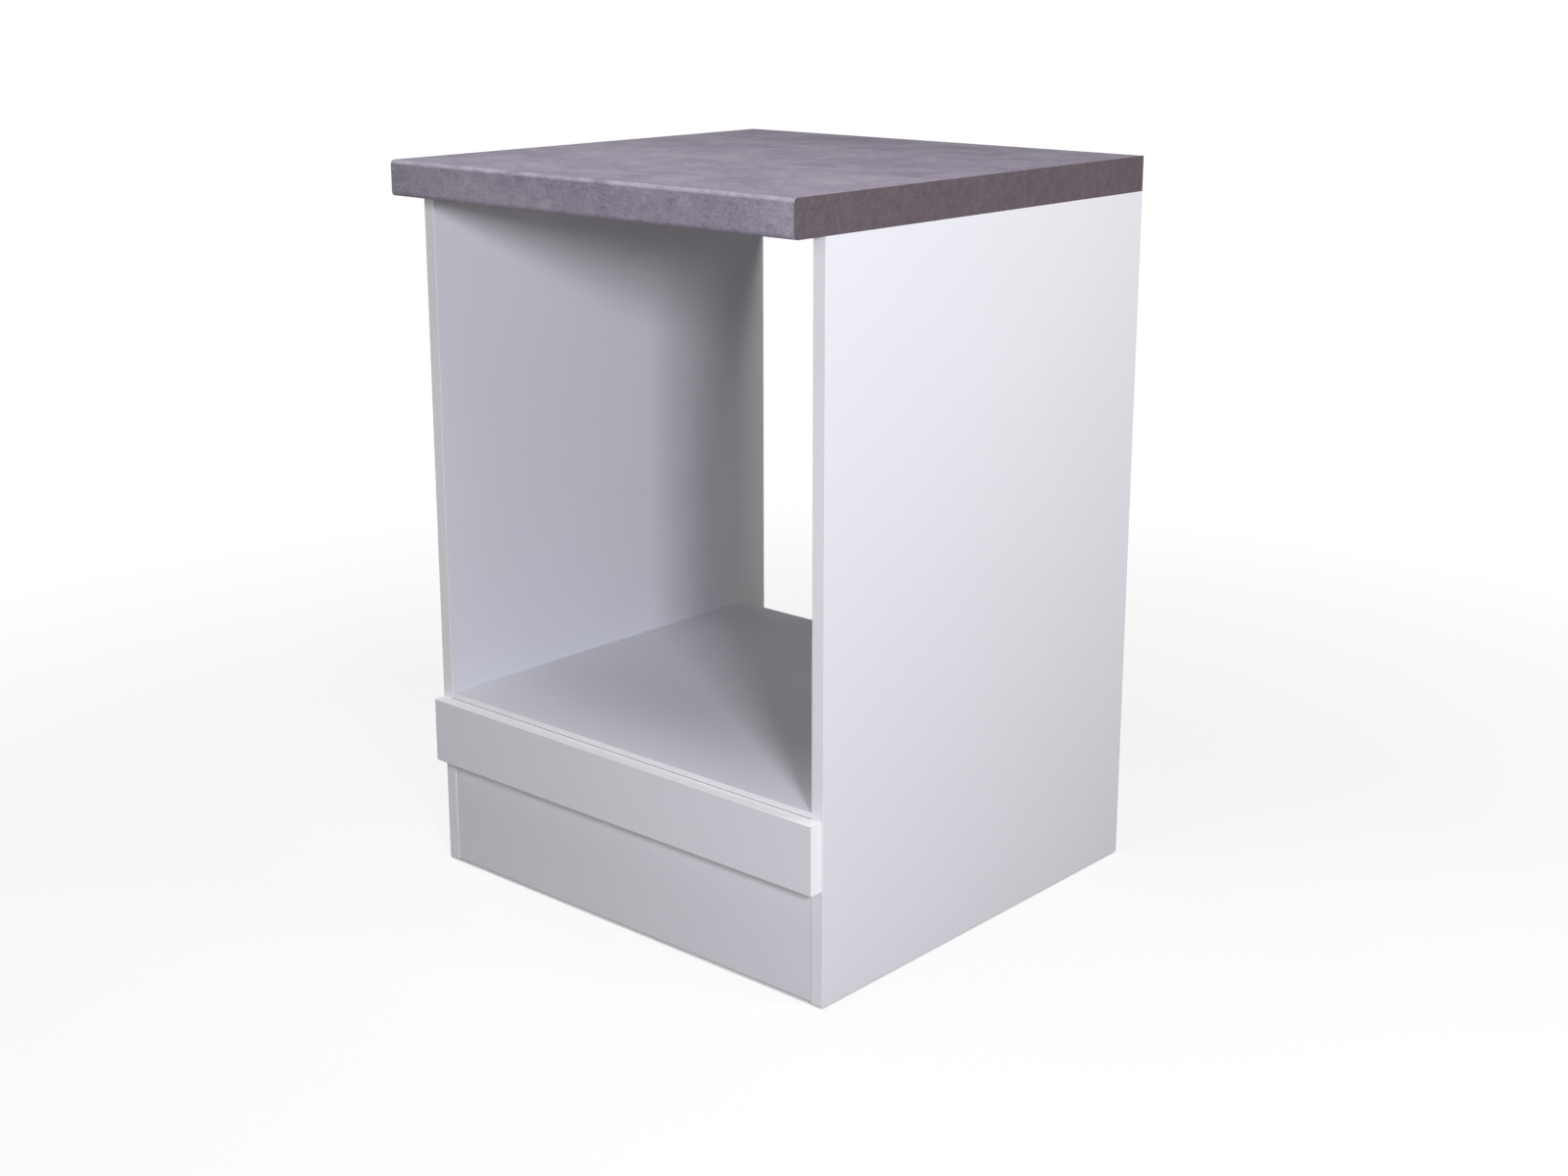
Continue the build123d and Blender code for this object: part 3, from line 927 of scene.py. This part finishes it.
# Each soft box stands round the middle: azimuth 0 is the front and 90 the right, in degrees
softBoxes = {
    "keyBox": {"azimuth": 53, "elevation": 18, "away": 2.62, "size": (0.39, 0.34), "watts": 37.8,
               "tint": (0.91, 0.94, 1.0)},
    "sideBox": {"azimuth": 102, "elevation": 27, "away": 2.1, "size": (0.4, 0.6), "watts": 16,
                "tint": (1.0, 0.945, 0.88)},
    "fillBox": {"azimuth": 5, "elevation": 16, "away": 3.0, "size": (1.6, 1.6), "watts": 20,
                "tint": (1.0, 0.925, 0.865)},
    "topBox": {"azimuth": -15, "elevation": 73, "away": 1.58, "size": (0.7, 0.4), "watts": 10.2,
               "tint": (0.99, 0.99, 1.0)},
    "leftBox": {"azimuth": 262, "elevation": 2, "away": 3.2, "size": (1.2, 1.0), "watts": 40,
                "tint": (1.0, 1.0, 1.0)},
    "rearBox": {"azimuth": 197, "elevation": -4, "away": 3.2, "size": (0.4, 0.4), "watts": 14,
                "tint": (1.0, 1.0, 1.0)},
}


def seenRays(tree):
    # 1 for the camera, gloss and glass
    rays = put(tree, "ShaderNodeLightPath").outputs
    seen = maths(tree, "MAXIMUM", rays["Is Camera Ray"], rays["Is Glossy Ray"])
    return maths(tree, "MAXIMUM", seen, rays["Is Transmission Ray"])


def makeWorld():
    world = bpy.data.worlds.new("studio")
    bpy.context.scene.world = world
    world.use_nodes = True
    tree = world.node_tree
    tree.nodes.clear()
    lit = put(tree, "ShaderNodeBackground", {"Color": (1, 1, 1), "Strength": studio["ambient"]})
    white = put(tree, "ShaderNodeBackground", {"Color": (1, 1, 1), "Strength": 1.0})
    both = put(tree, "ShaderNodeMixShader", {0: seenRays(tree), 1: lit.outputs[0], 2: white.outputs[0]})
    put(tree, "ShaderNodeOutputWorld", {0: both.outputs[0]})


def underCabinet(tree, point):
    # 1 on the floor under the side panels; between them it fades from the plinth to the open back
    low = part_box("side_front_band_left")[0]
    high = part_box("side_panel_right")[1]
    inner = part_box("side_panel_right")[0].x
    across = maths(tree, "ABSOLUTE", partOf(tree, point, 0))
    back = partOf(tree, point, 1)
    sides = maths(tree, "GREATER_THAN", across, inner)
    shade = maths(tree, "MAXIMUM", sides, spread(tree, back, (low.y, high.y), (1, 0)))
    shade = times(tree, shade, maths(tree, "LESS_THAN", across, high.x))
    shade = times(tree, shade, maths(tree, "GREATER_THAN", back, low.y))
    return times(tree, shade, maths(tree, "LESS_THAN", back, high.y))


def floorMaterial():
    # The shadow near the object shows, and further out the floor turns to plain white
    material, tree = startMaterial("floor")
    point = here(tree)
    distance = put(tree, "ShaderNodeVectorMath", {0: point}, operation="LENGTH").outputs["Value"]
    white = spread(tree, distance, floorLook["shadowReach"], (floorLook["glow"], 1.0))
    white = mixValue(tree, underCabinet(tree, point), white, floorLook["glowUnder"])
    flecks = noise(tree, point, *floorLook["fleckNoise"])
    flecks = spread(tree, flecks, noiseSpan, (0, floorLook["fleckShare"]))
    colour = mixColour(tree, flecks, floorLook["colour"], floorLook["fleck"])
    shownColour = mixColour(tree, seenRays(tree), colour, (1.0, 1.0, 1.0))
    matt = put(tree, "ShaderNodeBsdfDiffuse", {"Color": shownColour})
    glow = put(tree, "ShaderNodeEmission", {"Color": (1, 1, 1), "Strength": 1.0})
    share = times(tree, seenRays(tree), white)
    both = put(tree, "ShaderNodeMixShader", {0: share, 1: matt.outputs[0], 2: glow.outputs[0]})
    finishMaterial(tree, both)
    return material


def makeFloor():
    radius = floorLook["radius"]
    mesh = bpy.data.meshes.new("floor")
    corners = [(-radius, -radius, 0), (radius, -radius, 0), (radius, radius, 0), (-radius, radius, 0)]
    mesh.from_pydata(corners, [], [(0, 1, 2, 3)])
    mesh.materials.append(floorMaterial())
    floor = bpy.data.objects.new("floor", mesh)
    bpy.context.scene.collection.objects.link(floor)


def makeSoftBoxes():
    middle = Vector(studio["middle"])
    for name, box in softBoxes.items():
        data = bpy.data.lights.new(name, "AREA")
        data.shape = "RECTANGLE"
        data.size, data.size_y = box["size"]
        data.energy = box["watts"]
        data.color = box["tint"]
        lamp = bpy.data.objects.new(name, data)
        azimuth = radians(box["azimuth"])
        elevation = radians(box["elevation"])
        outward = Vector((sin(azimuth) * cos(elevation), -cos(azimuth) * cos(elevation), sin(elevation)))
        lamp.location = middle + outward * box["away"]
        lamp.rotation_euler = outward.to_track_quat("Z", "Y").to_euler()
        lamp.visible_camera = False
        bpy.context.scene.collection.objects.link(lamp)


makeWorld()
makeFloor()
makeSoftBoxes()
bpy.context.scene.view_settings.view_transform = "Standard"
print("studio ready")
